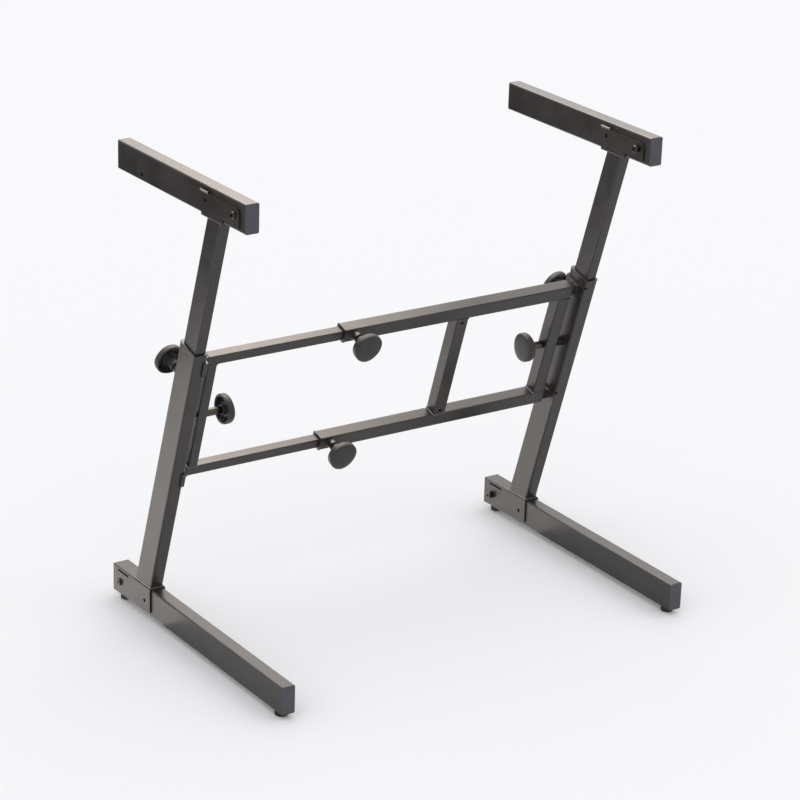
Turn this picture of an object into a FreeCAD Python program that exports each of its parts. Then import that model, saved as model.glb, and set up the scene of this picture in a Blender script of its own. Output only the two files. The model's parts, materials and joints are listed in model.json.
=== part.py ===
"""Folding keyboard stand: two side units with folding feet and arms, joined by a sliding cross-frame.

Millimetres. +X is the player's right, -Y the front, +Z up. The origin is on the floor, midway between
the side units and halfway along the feet.
"""
import FreeCAD, Part
import math
import os
import re
import Sketcher
from FreeCAD import Placement, Rotation, Vector

os.makedirs("parts", exist_ok=True)
doc = FreeCAD.newDocument("keyboard_stand")

# Every driving dimension, in millimetres or degrees.
DIMENSIONS = {
    # side units
    "span": 796,                # between the two column axes
    "lean": 17.5,               # the columns lean forward
    "plate": 2.5,               # sheet of both fold brackets
    "side_gap": 0.3,            # fold bracket to the tube it holds, each side
    "pivot_across": 8,          # pivot bolt's shank
    "pivot_gap": 0.07,          # radial play of a tube on its pivot bolt
    "lock_across": 7,           # second hole of each fold bracket
    # foot
    "foot_length": 562,         # front cap to the bracket's rear edge
    "main_wide": 25,            # foot, column and arm tubes
    "foot_tall": 50,
    "main_wall": 1.5,
    "main_corner": 3,
    "rubber_tall": 9,
    "rubber_across": 22,
    "rubber_stud": 6,
    "front_rubber": 22,         # from the foot's front end
    "rear_rubber": 21,          # from the foot's rear end
    "foot_axis": 100,           # column axis, from the foot's rear end, at the foot's top
    "foot_pivot": 23,           # from the foot's rear end
    "foot_plate_lift": 3,       # the plates stop above the tube's underside
    "foot_plate_rise": 5,       # and rise toward the front
    "foot_plate_front": 30,     # bracket's front edge, ahead of the column axis
    "foot_lock": 19,            # lock hole from the bracket's front edge
    "slot_long": 39,
    "slot_tall": 4,
    "slot_drop": 6,             # slot's middle below the plate's top
    "slot_front": 45,           # slot's front end, behind the column axis
    # columns
    "column_deep": 50,
    "column_mouth": 503,        # mouth above the foot, along the column
    "stem_deep": 40,            # inner column
    "stem_wide": 20,
    "stem_corner": 2.5,
    "stem_length": 531,
    "stem_ahead": 2,            # inner column's axis ahead of the outer's
    "stem_play": 0.3,           # bushing to the inner column, each side
    "flange_tall": 2.5,
    "flange_proud": 0.8,
    "bushing_long": 30,
    "glide_base": 8,            # glide's block past the tube's end
    "glide_plug": 15,
    "glide_play": 0.4,
    "spare": 20,                # tube left on a column's end before it is cut level
    "trim": 80,                 # block that cuts it
    # arm
    "arm_height": 835,          # arm's top above the floor, as photographed
    "arm_length": 414,
    "arm_tall": 50,
    "arm_axis": 103,            # column axis, from the arm's front end, at the arm's underside
    "arm_pivot": 32,            # from the arm's front end
    "arm_plate_front": 17,      # bracket's front edge, from the arm's front end
    "arm_plate_rear": 30,       # bracket's rear edge, behind the column axis
    "arm_web_front": 36,        # web's front edge, ahead of the column axis
    "arm_plate_tall": 38,
    "arm_plate_lift": 7,        # the plates' lower edge ahead of the web, above the arm's underside
    "arm_tab_reach": 6,         # lead-in tab above each plate
    "arm_tab_flare": 40,        # the tabs lean out
    "arm_tab_long": 24,
    "arm_lock": 12.5,           # lock hole from the bracket's rear edge
    "relief_across": 8,
    "plate_round": 8,
    "accessory_across": 7,
    "accessory_rear": 82,       # accessory hole from the arm's rear end
    "accessory_up": 11,
    # plastic ends
    "cap_lip": 2,
    "cap_reach": 15,
    "cap_play": 0.2,
    "cap_wall": 2,
    # pivot bolts
    "head_across": 13,
    "head_tall": 4,
    "head_round": 1.2,
    "nut_across": 13,
    "nut_tall": 7,
    "nut_tip": 2,               # bolt's tip past its nut
    # saddles
    "saddle_gap": 16,           # end upright to the column
    "saddle_sheet": 2.5,
    "saddle_tall": 27,
    "saddle_lap": 6,            # over the column's front and rear faces
    # cross-frame
    "rail_wide": 25,
    "rail_wall": 1.5,
    "rail_corner": 2.5,
    "slider_wide": 18,
    "slider_wall": 1.2,
    "slider_corner": 2,
    "upper_rail": 476,          # rail axes above the foot, along the column
    "lower_rail": 245,
    "rail_mouth": 106,          # outer rails' mouth, left of the middle
    "rail_overlap": 180,        # inner rail inside the outer, as photographed
    "brace_side": 139,          # middle brace, right of the middle
    "drain_across": 6,
    "drain_inset": 8,
    "collar_long": 15,
    # hand knobs
    "height_screw": 66,         # below the column's mouth
    "clamp_screw": 360,         # above the foot, along the column
    "width_screw": 21,          # from the outer rail's mouth
    "stud_across": 8,
    "stud_gap": 0.07,
    "stud_clear": 0.3,          # screw's tip to the face it presses on
    "boss_across": 17,
    "boss_tall": 10,
    "knob_across": 54,
    "knob_flat": 25,            # flats of the grip, from its axis
    "knob_face": 46,            # knob's face above the tube it stands on
    "knob_rim": 12,
    "knob_wall": 3.5,
    "knob_floor": 4,
    "hub_across": 18,
    "hub_start": 15,
    "sleeve_across": 14,
    "sleeve_long": 30,
    "hub_gap": 0.3,             # sleeve to the clamp knob's hub
    "bend_round": 2,
}

sheet = doc.addObject("Spreadsheet::Sheet", "sizes")
for row, (alias, value) in enumerate(DIMENSIONS.items(), 1):
    sheet.set(f"A{row}", alias)
    sheet.set(f"B{row}", str(value))
    sheet.setAlias(f"B{row}", alias)

# Worked-out places, each a formula in the same sheet.
DERIVED = {
    "foot_top": "=rubber_tall + foot_tall",
    "half_span": "=span / 2",
    "axis_back": "=foot_length / 2 - foot_axis",
    "foot_rear": "=foot_length / 2",
    "foot_pivot_back": "=foot_rear - foot_pivot",
    "arm_bottom": "=arm_height - arm_tall",
    "arm_axis_back": "=axis_back - (arm_bottom - foot_top) * tan(lean)",
    "arm_front": "=arm_axis_back - arm_axis",
    "stem_top": "=(arm_bottom - plate - foot_top) / cos(lean)",
    "rail_end": "=half_span - main_wide / 2 - saddle_gap",
    "bracket_half": "=main_wide / 2 + side_gap + plate",
    "channel_half": "=main_wide / 2 + side_gap",
    "stud_bore": "=stud_across + 2 * stud_gap",
    "pivot_bore": "=pivot_across + 2 * pivot_gap",
    "height_screw_up": "=column_mouth - height_screw",
    "foot_middle": "=rubber_tall + foot_tall / 2",
    "arm_middle": "=arm_bottom + arm_tall / 2",
    "knob_top": "=knob_face - knob_floor",
    "hub_end": "=knob_face - knob_floor / 2",
}
for row, (alias, formula) in enumerate(DERIVED.items(), len(DIMENSIONS) + 1):
    sheet.set(f"A{row}", alias)
    sheet.set(f"B{row}", formula)
    sheet.setAlias(f"B{row}", alias)
doc.recompute()

X_AXIS = Vector(1, 0, 0)
Y_AXIS = Vector(0, 1, 0)
Z_AXIS = Vector(0, 0, 1)
SIDES = {"left": -1, "right": 1}
parts = []


def link(formula):
    """A formula whose sheet names carry the sheet's own name, as a feature's property needs."""
    known = (*DIMENSIONS, *DERIVED)
    return re.sub("[a-z_]+", lambda word: f"sizes.{word[0]}" if word[0] in known else word[0], formula)


def value_of(formula):
    """The present number that a formula of the sheet gives."""
    return float(sheet.evalExpression(link(formula)))


def bind(item, prop, formula):
    """Tie one property of a feature to the sheet."""
    item.setExpression(prop, link(formula))


def place(item, where, axis=None, angle=None):
    """Tie an item's place, and its turn about an axis, to the sheet."""
    if axis:
        item.Placement = Placement(Vector(), Rotation(axis, 1))
        bind(item, "Placement.Rotation.Angle", angle)
    for name, formula in zip("xyz", where):
        bind(item, f"Placement.Base.{name}", formula)


def on_column(x, y, up):
    """The world place of a point given along a leaning column's own directions."""
    back = f"axis_back + ( {y} ) * cos(lean) - ( {up} ) * sin(lean)"
    height = f"foot_top + ( {y} ) * sin(lean) + ( {up} ) * cos(lean)"
    return x, back, height


def new_part(label):
    """An empty sub-part, which may hold more than one separate solid."""
    body = doc.addObject("PartDesign::Body", label)
    body.Label = label
    body.AllowCompound = True
    parts.append(body)
    return body


def column_part(label, side):
    """A sub-part drawn upright about a column's axis and then leaned with it."""
    body = new_part(label)
    place(body, (f"{side} * half_span", "axis_back", "foot_top"), X_AXIS, "lean")
    return body


def unit_part(label, side):
    """A sub-part of a side unit, drawn level in the world's own heights."""
    body = new_part(label)
    place(body, (f"{side} * half_span", "0", "0"))
    return body


def block(body, name, *spans, cut=False):
    """A box from three (start, length) pairs along X, Y and Z."""
    kind = "PartDesign::SubtractiveBox" if cut else "PartDesign::AdditiveBox"
    item = body.newObject(kind, name)
    for prop, span in zip(("Length", "Width", "Height"), spans):
        bind(item, prop, span[1])
    place(item, [span[0] for span in spans])
    return item


def rod(body, name, across, start, length, axis=Z_AXIS, cut=False):
    """A cylinder, or a round hole, from a start point along an axis."""
    kind = "PartDesign::SubtractiveCylinder" if cut else "PartDesign::AdditiveCylinder"
    item = body.newObject(kind, name)
    item.Placement = Placement(Vector(), Rotation(Z_AXIS, axis))
    bind(item, "Radius", f"( {across} ) / 2")
    bind(item, "Height", length)
    place(item, start)
    return item


def rounded_rectangle(sketch, wide, tall, corner, right="0", up="0"):
    """A rectangle with round corners about a point of the sketch, bound to the sheet."""
    radius = value_of(corner)
    x = value_of(wide) / 2 - radius
    y = value_of(tall) / 2 - radius
    middle = Vector(value_of(right), value_of(up), 0)
    corners = [Vector(x, y, 0), Vector(x, -y, 0), Vector(-x, -y, 0), Vector(-x, y, 0)]
    outward = [Y_AXIS, X_AXIS, -Y_AXIS, -X_AXIS]
    first = sketch.GeometryCount
    for turn in range(4):
        lift = middle + outward[turn] * radius
        sketch.addGeometry(Part.LineSegment(corners[turn - 1] + lift, corners[turn] + lift), False)
    for turn in range(4):
        start = math.pi / 2 * (4 - turn)
        circle = Part.Circle(corners[turn] + middle, Z_AXIS, radius)
        sketch.addGeometry(Part.ArcOfCircle(circle, start, start + math.pi / 2), False)
    centre = sketch.addGeometry(Part.Point(middle), True)
    rule = Sketcher.Constraint
    for turn in range(4):
        arc = first + 4 + turn
        sketch.addConstraint(rule("Tangent", first + turn, 2, arc, 2))
        sketch.addConstraint(rule("Tangent", arc, 1, first + (turn + 1) % 4, 1))
        sketch.addConstraint(rule("Vertical" if turn % 2 else "Horizontal", first + turn))
        if turn:
            sketch.addConstraint(rule("Equal", first + 4, arc))
    sketch.addConstraint(rule("Symmetric", first + 4, 3, first + 6, 3, centre, 1))
    driven = [
        (rule("DistanceX", first + 3, 1, first + 1, 1, value_of(wide)), wide),
        (rule("DistanceY", first + 2, 1, first, 1, value_of(tall)), tall),
        (rule("Radius", first + 4, radius), corner),
        (rule("DistanceX", -1, 1, centre, 1, middle.x), right),
        (rule("DistanceY", -1, 1, centre, 1, middle.y), up),
    ]
    for constraint, formula in driven:
        bind(sketch, f"Constraints[{sketch.addConstraint(constraint)}]", formula)


def prism(body, name, role, start, length, *outlines):
    """Rounded outlines padded along the normal of one of the body's origin planes.

    XY_Plane pads up +Z, YZ_Plane along +X and XZ_Plane along -Y.
    """
    sketch = body.newObject("Sketcher::SketchObject", f"{name}_outline")
    planes = [item for item in body.Origin.OriginFeatures if item.Role == role]
    sketch.AttachmentSupport = [(planes[0], "")]
    sketch.MapMode = "FlatFace"
    bind(sketch, "AttachmentOffset.Base.z", start)
    for outline in outlines:
        rounded_rectangle(sketch, *outline)
    pad = body.newObject("PartDesign::Pad", name)
    pad.Profile = sketch
    bind(pad, "Length", length)
    return pad


def inside(wide, tall, corner, wall):
    """The outline one wall inside another."""
    return f"{wide} - 2 * {wall}", f"{tall} - 2 * {wall}", f"{corner} - {wall}"


def soften(body, name, radius, wanted):
    """Fillet the straight edges whose middle point and direction a test wants."""
    doc.recompute()
    chosen = []
    for number, edge in enumerate(body.Tip.Shape.Edges, 1):
        if edge.Curve.TypeId != "Part::GeomLine":
            continue
        ends = [vertex.Point for vertex in edge.Vertexes]
        if wanted((ends[0] + ends[1]) / 2, (ends[1] - ends[0]).normalize()):
            chosen.append(f"Edge{number}")
    base = body.Tip
    fillet = body.newObject("PartDesign::Fillet", name)
    fillet.Base = (base, chosen)
    bind(fillet, "Radius", radius)
    return fillet


# The two tubes that fold, with the plastic plugs in their ends.


def end_cap(body, name, lip, plug, tall, up):
    """A lip over a tube's end and a hollow plug inside it, each from its rear face forward."""
    lip_outline = ("main_wide", tall, "main_corner", "0", up)
    outer = (
        "main_wide - 2 * main_wall - 2 * cap_play",
        f"{tall} - 2 * main_wall - 2 * cap_play",
        "main_corner - main_wall",
        "0",
        up,
    )
    inner = (f"{outer[0]} - 2 * cap_wall", f"{outer[1]} - 2 * cap_wall", "main_corner - main_wall", "0", up)
    prism(body, f"{name}_lip", "XZ_Plane", f"-( {lip} )", "cap_lip", lip_outline)
    prism(body, f"{name}_plug", "XZ_Plane", f"-( {plug} )", "cap_reach", outer, inner)


def long_tube(label, side, front, rear, tall, up):
    """A foot or arm tube between two places along the unit."""
    body = unit_part(label, side)
    outline = ("main_wide", tall, "main_corner")
    hollow = inside(*outline, "main_wall")
    length = f"{rear} - ( {front} )"
    prism(body, "tube", "XZ_Plane", f"-( {rear} )", length, (*outline, "0", up), (*hollow, "0", up))
    return body


def cross_hole(body, name, across, back, up):
    """A round hole right through a side unit from left to right."""
    rod(body, name, across, ("-2 * main_wide", back, up), "4 * main_wide", X_AXIS, cut=True)


def pivot_bolt(label, side, back, up):
    """A round-headed bolt with its head on the outer side of the unit."""
    body = unit_part(label, side)
    outward = X_AXIS * side
    start = (f"{-side} * ( bracket_half + nut_tall + nut_tip )", back, up)
    rod(body, "shank", "pivot_across", start, "2 * bracket_half + nut_tall + nut_tip", outward)
    rod(body, "head", "head_across", (f"{side} * bracket_half", back, up), "head_tall", outward)
    doc.recompute()
    rims = [
        f"Edge{number}"
        for number, edge in enumerate(body.Tip.Shape.Edges, 1)
        if edge.Closed and abs(edge.CenterOfMass.x) > value_of("bracket_half + head_tall / 2")
        and abs(edge.Curve.Radius * 2 - value_of("head_across")) < 0.01
    ]
    base = body.Tip
    dome = body.newObject("PartDesign::Fillet", "dome")
    dome.Base = (base, rims)
    bind(dome, "Radius", "head_round")


def pivot_nut(label, side, back, up):
    """A hexagon nut on the inner end of a pivot bolt."""
    body = unit_part(label, side)
    nut = body.newObject("PartDesign::AdditivePrism", "hexagon")
    nut.Polygon = 6
    nut.Placement = Placement(Vector(), Rotation(Z_AXIS, X_AXIS * -side))
    bind(nut, "Circumradius", "nut_across / 2 / cos(30)")
    bind(nut, "Height", "nut_tall")
    place(nut, (f"{-side} * bracket_half", back, up))
    rod(body, "bore", "pivot_across", ("-2 * main_wide", back, up), "4 * main_wide", X_AXIS, cut=True)


def foot(name, side):
    """The foot tube with its front plug and two rubber pads. Round cheeks at its rear end clear the web."""
    body = long_tube(
        f"{name}_foot_tube", side, "cap_lip - foot_rear", "foot_pivot_back", "foot_tall", "foot_middle",
    )
    cheeks = {"left": "-main_wide / 2", "right": "main_wide / 2 - main_wall"}
    for hand, start in cheeks.items():
        middle = (start, "foot_pivot_back", "foot_middle")
        rod(body, f"{hand}_cheek", "foot_tall - 2 * main_corner", middle, "main_wall", X_AXIS)
    cross_hole(body, "pivot_hole", "pivot_bore", "foot_pivot_back", "foot_middle")
    cross_hole(body, "lock_hole", "lock_across", "axis_back - foot_plate_front + foot_lock", "foot_middle")
    pads = {"front": "front_rubber - foot_rear", "rear": "foot_rear - rear_rubber"}
    for end, back in pads.items():
        rod(body, f"{end}_stud_hole", "rubber_stud", ("0", back, "0"), "foot_middle", cut=True)
    cap = unit_part(f"{name}_foot_end_cap", side)
    lip = "cap_lip - foot_rear"
    end_cap(cap, "front", lip, f"{lip} + cap_reach", "foot_tall", "foot_middle")
    rubber = unit_part(f"{name}_rubber_feet", side)
    for end, back in pads.items():
        rod(rubber, f"{end}_pad", "rubber_across", ("0", back, "0"), "rubber_tall")
        rod(rubber, f"{end}_stud", "rubber_stud", ("0", back, "0"), "rubber_tall + 2 * main_wall")


def foot_bracket(name, side):
    """An inverted U of folded sheet: its web lies on the foot tube, under the column, to the rear end."""
    body = unit_part(f"{name}_foot_bracket", side)
    front = "axis_back - foot_plate_front"
    rear = "foot_rear"
    low = "rubber_tall + foot_plate_lift"
    across = ("-bracket_half", "2 * bracket_half")
    channel = ("-channel_half", "2 * channel_half")
    block(body, "sheet", across, (front, f"{rear} - ( {front} )"), (low, f"foot_top + plate - ( {low} )"))
    edge = value_of("foot_top + plate")
    soften(body, "bends", "bend_round", lambda at, along: abs(along.y) > 0.9 and abs(at.z - edge) < 0.01)
    block(body, "channel", channel, ("-foot_rear", "2 * foot_rear"), ("0", "foot_top"), cut=True)
    wide = ("-2 * main_wide", "4 * main_wide")
    slope = f"atan(foot_plate_rise / ( {rear} - ( {front} ) ))"
    back = f"{rear} - foot_length * cos({slope}) - foot_tall * sin({slope})"
    height = f"{low} + foot_length * sin({slope}) - foot_tall * cos({slope})"
    taper = block(body, "taper", wide, ("0", "foot_length"), ("0", "foot_tall"), cut=True)
    place(taper, ("-2 * main_wide", back, height), X_AXIS, f"-{slope}")
    cross_hole(body, "pivot_hole", "pivot_across", "foot_pivot_back", "foot_middle")
    cross_hole(body, "lock_hole", "lock_across", f"{front} + foot_lock", "foot_middle")
    slot_up = "foot_top + plate - slot_drop"
    slot_start = "axis_back + slot_front + slot_tall / 2"
    slot_run = "slot_long - slot_tall"
    left_plate = ("-2 * main_wide", "2 * main_wide")
    slot_high = (f"{slot_up} - slot_tall / 2", "slot_tall")
    block(body, "slot", left_plate, (slot_start, slot_run), slot_high, cut=True)
    for end, back in {"front": slot_start, "rear": f"{slot_start} + {slot_run}"}.items():
        middle = (left_plate[0], back, slot_up)
        rod(body, f"slot_{end}_end", "slot_tall", middle, left_plate[1], X_AXIS, cut=True)
    pivot_bolt(f"{name}_foot_pivot_bolt", side, "foot_pivot_back", "foot_middle")
    pivot_nut(f"{name}_foot_pivot_nut", side, "foot_pivot_back", "foot_middle")


def arm(name, side):
    """The arm tube and its plugs, with one small accessory hole in the outer wall."""
    rear = "arm_front + arm_length"
    body = long_tube(
        f"{name}_arm_tube", side, "arm_front + cap_lip", f"{rear} - cap_lip", "arm_tall", "arm_middle",
    )
    cross_hole(body, "pivot_hole", "pivot_bore", "arm_front + arm_pivot", "arm_middle")
    cross_hole(body, "lock_hole", "lock_across", "arm_axis_back + arm_plate_rear - arm_lock", "arm_middle")
    hole = ("0", f"{rear} - accessory_rear", "arm_bottom + accessory_up")
    rod(body, "accessory_hole", "accessory_across", hole, "main_wide", X_AXIS * side, cut=True)
    caps = unit_part(f"{name}_arm_end_caps", side)
    end_cap(caps, "rear", rear, f"{rear} - cap_lip", "arm_tall", "arm_middle")
    lip = "arm_front + cap_lip"
    end_cap(caps, "front", lip, f"{lip} + cap_reach", "arm_tall", "arm_middle")


def arm_bracket(name, side):
    """A U of folded sheet on top of the inner column: the arm lies in it."""
    body = unit_part(f"{name}_arm_bracket", side)
    front = "arm_front + arm_plate_front"
    rear = "arm_axis_back + arm_plate_rear"
    low = "arm_bottom - plate"
    tall = "plate + arm_plate_tall"
    across = ("-bracket_half", "2 * bracket_half")
    channel = ("-channel_half", "2 * channel_half")
    along = ("-foot_rear", "2 * foot_rear")
    block(body, "sheet", across, (front, f"{rear} - ( {front} )"), (low, tall))
    edge_low = value_of(low)
    edge_top = value_of(f"{low} + {tall}")
    edge_front = value_of(front)
    soften(body, "bends", "bend_round", lambda at, way: abs(way.y) > 0.9 and abs(at.z - edge_low) < 0.01)
    soften(
        body, "front_corner", "plate_round",
        lambda at, way: abs(way.x) > 0.9 and abs(at.z - edge_top) < 0.01 and abs(at.y - edge_front) < 0.01,
    )
    block(body, "channel", channel, along, ("arm_bottom", "arm_height"), cut=True)
    open_to = "arm_axis_back - arm_web_front"
    open_long = ("-foot_rear", f"foot_rear + {open_to}")
    block(body, "open_front", channel, open_long, ("0", "arm_height"), cut=True)
    wide = ("-2 * main_wide", "4 * main_wide")
    block(body, "lifted_front", wide, open_long, ("0", "arm_bottom + arm_plate_lift"), cut=True)
    tab_spans = (("0", "plate"), ("0", "arm_tab_long"), ("0", "arm_tab_reach"))
    tab_back = f"{rear} - arm_tab_long"
    tab_up = f"{low} + {tall}"
    tab = block(body, "right_tab", *tab_spans)
    place(tab, ("channel_half", tab_back, tab_up), Y_AXIS, "arm_tab_flare")
    tab = block(body, "left_tab", *tab_spans)
    start = ("-channel_half - plate * cos(arm_tab_flare)", tab_back, f"{tab_up} - plate * sin(arm_tab_flare)")
    place(tab, start, Y_AXIS, "-arm_tab_flare")
    cross_hole(body, "relief_hole", "relief_across", open_to, f"{low} + plate / 2")
    cross_hole(body, "pivot_hole", "pivot_across", "arm_front + arm_pivot", "arm_middle")
    cross_hole(body, "lock_hole", "lock_across", f"{rear} - arm_lock", "arm_middle")
    pivot_bolt(f"{name}_arm_pivot_bolt", side, "arm_front + arm_pivot", "arm_middle")
    pivot_nut(f"{name}_arm_pivot_nut", side, "arm_front + arm_pivot", "arm_middle")


# The telescoping columns, drawn upright about the column's axis: local -Y is the column's front.


def level_cut(body, name, up, above):
    """Trim a leaning tube level at a height along its axis, keeping what is below or above."""
    item = body.newObject("PartDesign::SubtractiveBox", name)
    for prop in ("Length", "Width", "Height"):
        bind(item, prop, "trim")
    sunk = "0" if above else "trim"
    back = f"-trim / 2 * cos(lean) - {sunk} * sin(lean)"
    height = f"{up} + trim / 2 * sin(lean) - {sunk} * cos(lean)"
    place(item, ("-trim / 2", back, height), X_AXIS, "-lean")


def columns(name, side):
    """The outer and inner columns with their plastic bushing and glide."""
    inward = X_AXIS * -side
    outline = ("main_wide", "column_deep", "main_corner")
    stem = ("stem_wide", "stem_deep", "stem_corner")
    ahead = ("0", "-stem_ahead")
    hollow = inside(*outline, "main_wall")
    stem_hollow = inside(*stem, "main_wall")
    stem_hole = ("stem_wide + 2 * stem_play", "stem_deep + 2 * stem_play", "stem_corner + stem_play", *ahead)

    outer = column_part(f"{name}_outer_column", side)
    prism(outer, "tube", "XY_Plane", "-spare", "column_mouth + spare", outline, hollow)
    level_cut(outer, "level_foot", "plate / cos(lean)", above=False)
    rod(outer, "height_hole", "stud_bore", ("0", "0", "height_screw_up"), "column_deep", Y_AXIS, cut=True)
    rod(outer, "clamp_hole", "stud_bore", ("0", "0", "clamp_screw"), "main_wide", inward, cut=True)

    bushing = column_part(f"{name}_column_bushing", side)
    flange = ("main_wide + 2 * flange_proud", "column_deep + 2 * flange_proud", "main_corner + flange_proud")
    prism(bushing, "flange", "XY_Plane", "column_mouth", "flange_tall", flange, stem_hole)
    prism(bushing, "lining", "XY_Plane", "column_mouth - bushing_long", "bushing_long", hollow, stem_hole)

    inner = column_part(f"{name}_inner_column", side)
    low = "stem_top - stem_length"
    prism(inner, "tube", "XY_Plane", low, "stem_length + spare", (*stem, *ahead), (*stem_hollow, *ahead))
    level_cut(inner, "level_top", "stem_top", above=True)

    glide = column_part(f"{name}_inner_glide", side)
    running = (f"{hollow[0]} - 2 * glide_play", f"{hollow[1]} - 2 * glide_play", "main_corner - main_wall")
    prism(glide, "base", "XY_Plane", f"{low} - glide_base", "glide_base", running)
    prism(glide, "plug", "XY_Plane", low, "glide_plug", (*stem_hollow, *ahead))

    nuts = column_part(f"{name}_column_nuts", side)
    rear_face = ("0", "column_deep / 2", "height_screw_up")
    inner_face = (f"{-side} * main_wide / 2", "0", "clamp_screw")
    rod(nuts, "height_nut", "boss_across", rear_face, "boss_tall", Y_AXIS)
    rod(nuts, "clamp_nut", "boss_across", inner_face, "boss_tall", inward)
    rod(nuts, "height_thread", "stud_bore", ("0", "0", "height_screw_up"), "column_deep", Y_AXIS, cut=True)
    rod(nuts, "clamp_thread", "stud_bore", ("0", "0", "clamp_screw"), "2 * main_wide", inward, cut=True)


# The cross-frame, drawn upright on the plane of the two columns and leaned with them.


def frame_part(label):
    """A sub-part of the cross-frame."""
    return column_part(label, 0)


def rails():
    """Two pairs of telescoping square tubes with their collars and glides."""
    outer = ("rail_wide", "rail_wide", "rail_corner")
    slider = ("slider_wide", "slider_wide", "slider_corner")
    hollow = inside(*outer, "rail_wall")
    slider_hollow = inside(*slider, "slider_wall")
    bore = ("slider_wide + 2 * stem_play", "slider_wide + 2 * stem_play", "slider_corner + stem_play")
    flange = ("rail_wide + 2 * flange_proud", "rail_wide + 2 * flange_proud", "rail_corner + flange_proud")
    running = (f"{hollow[0]} - 2 * glide_play", f"{hollow[1]} - 2 * glide_play", "rail_corner - rail_wall")
    end = "-rail_mouth + rail_overlap"
    for level in ("upper", "lower"):
        at = ("0", f"{level}_rail")
        rail = frame_part(f"{level}_outer_rail")
        prism(rail, "tube", "YZ_Plane", "-rail_mouth", "rail_mouth + rail_end", (*outer, *at), (*hollow, *at))
        screw = ("width_screw - rail_mouth", "0", f"{level}_rail")
        rod(rail, "screw_hole", "stud_bore", screw, "rail_wide", -Y_AXIS, cut=True)
        tube = frame_part(f"{level}_inner_rail")
        length = f"rail_end + {end}"
        prism(tube, "tube", "YZ_Plane", "-rail_end", length, (*slider, *at), (*slider_hollow, *at))
    collars = frame_part("rail_collars")
    glides = frame_part("rail_glides")
    nuts = frame_part("rail_nuts")
    for level in ("upper", "lower"):
        at = ("0", f"{level}_rail")
        start = "-rail_mouth - flange_tall"
        prism(collars, f"{level}_flange", "YZ_Plane", start, "flange_tall", (*flange, *at), (*bore, *at))
        lining = ((*hollow, *at), (*bore, *at))
        prism(collars, f"{level}_lining", "YZ_Plane", "-rail_mouth", "collar_long", *lining)
        prism(glides, f"{level}_base", "YZ_Plane", end, "glide_base", (*running, *at))
        plug = f"{end} - glide_plug"
        prism(glides, f"{level}_plug", "YZ_Plane", plug, "glide_plug", (*slider_hollow, *at))
        face = ("width_screw - rail_mouth", "-rail_wide / 2", f"{level}_rail")
        axis = ("width_screw - rail_mouth", "0", f"{level}_rail")
        rod(nuts, f"{level}_nut", "boss_across", face, "boss_tall", -Y_AXIS)
        rod(nuts, f"{level}_thread", "stud_bore", axis, "rail_wide + boss_tall", -Y_AXIS, cut=True)


def upright(label, wide, wall, corner, middle):
    """A vertical tube between the two rails."""
    body = frame_part(label)
    low = f"lower_rail + {wide} / 2"
    length = f"upper_rail - lower_rail - {wide}"
    outline = (wide, wide, corner)
    prism(body, "tube", "XY_Plane", low, length, (*outline, middle), (*inside(*outline, wall), middle))
    return body


def uprights():
    """The end uprights, drilled for the clamp screws, and the middle brace."""
    slider = ("slider_wide", "slider_wall", "slider_corner")
    rail = ("rail_wide", "rail_wall", "rail_corner")
    left = upright("left_upright", *slider, "slider_wide / 2 - rail_end")
    right = upright("right_upright", *rail, "rail_end - rail_wide / 2")
    for body in (left, right):
        rod(body, "clamp_hole", "stud_bore", ("-half_span", "0", "clamp_screw"), "span", X_AXIS, cut=True)
    brace = upright("middle_brace", *rail, "brace_side")
    drains = {
        "upper": "upper_rail - rail_wide / 2 - drain_inset",
        "lower": "lower_rail + rail_wide / 2 + drain_inset",
    }
    for level, up in drains.items():
        rod(brace, f"{level}_drain", "drain_across", ("brace_side", "0", up), "rail_wide", -Y_AXIS, cut=True)


def saddles(name, side):
    """Two U brackets of bent sheet, on stubs from the rails' ends, that seat on the column's inner side."""
    body = frame_part(f"{name}_saddles")
    tube = ("slider_wide", "slider_wide", "slider_corner")
    hollow = inside(*tube, "slider_wall")
    back = "column_deep / 2 + side_gap"

    def out(start, length):
        """A span that starts a distance outside the rails' ends."""
        if side > 0:
            return f"rail_end + {start}", length
        return f"-rail_end - ( {start} ) - ( {length} )", length

    web = out("saddle_gap - saddle_sheet", "saddle_sheet + saddle_lap")
    deep = (f"-( {back} + saddle_sheet )", f"2 * ( {back} + saddle_sheet )")
    for level in ("upper", "lower"):
        tall = (f"{level}_rail - saddle_tall / 2", "saddle_tall")
        block(body, f"{level}_sheet", web, deep, tall)
    face = value_of("rail_end + saddle_gap - saddle_sheet")
    soften(body, "bends", "bend_round", lambda at, way: abs(way.z) > 0.9 and abs(abs(at.x) - face) < 0.01)
    for level in ("upper", "lower"):
        tall = (f"{level}_rail - saddle_tall", "2 * saddle_tall")
        seat = (f"-( {back} )", f"2 * ( {back} )")
        block(body, f"{level}_seat", out("saddle_gap", "main_wide"), seat, tall, cut=True)
        at = ("0", f"{level}_rail")
        stub = out("0", "saddle_gap - saddle_sheet")
        prism(body, f"{level}_stub", "YZ_Plane", *stub, (*tube, *at), (*hollow, *at))


# The hand knobs, each drawn with its screw's axis up and the tube's face at zero height.


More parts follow.
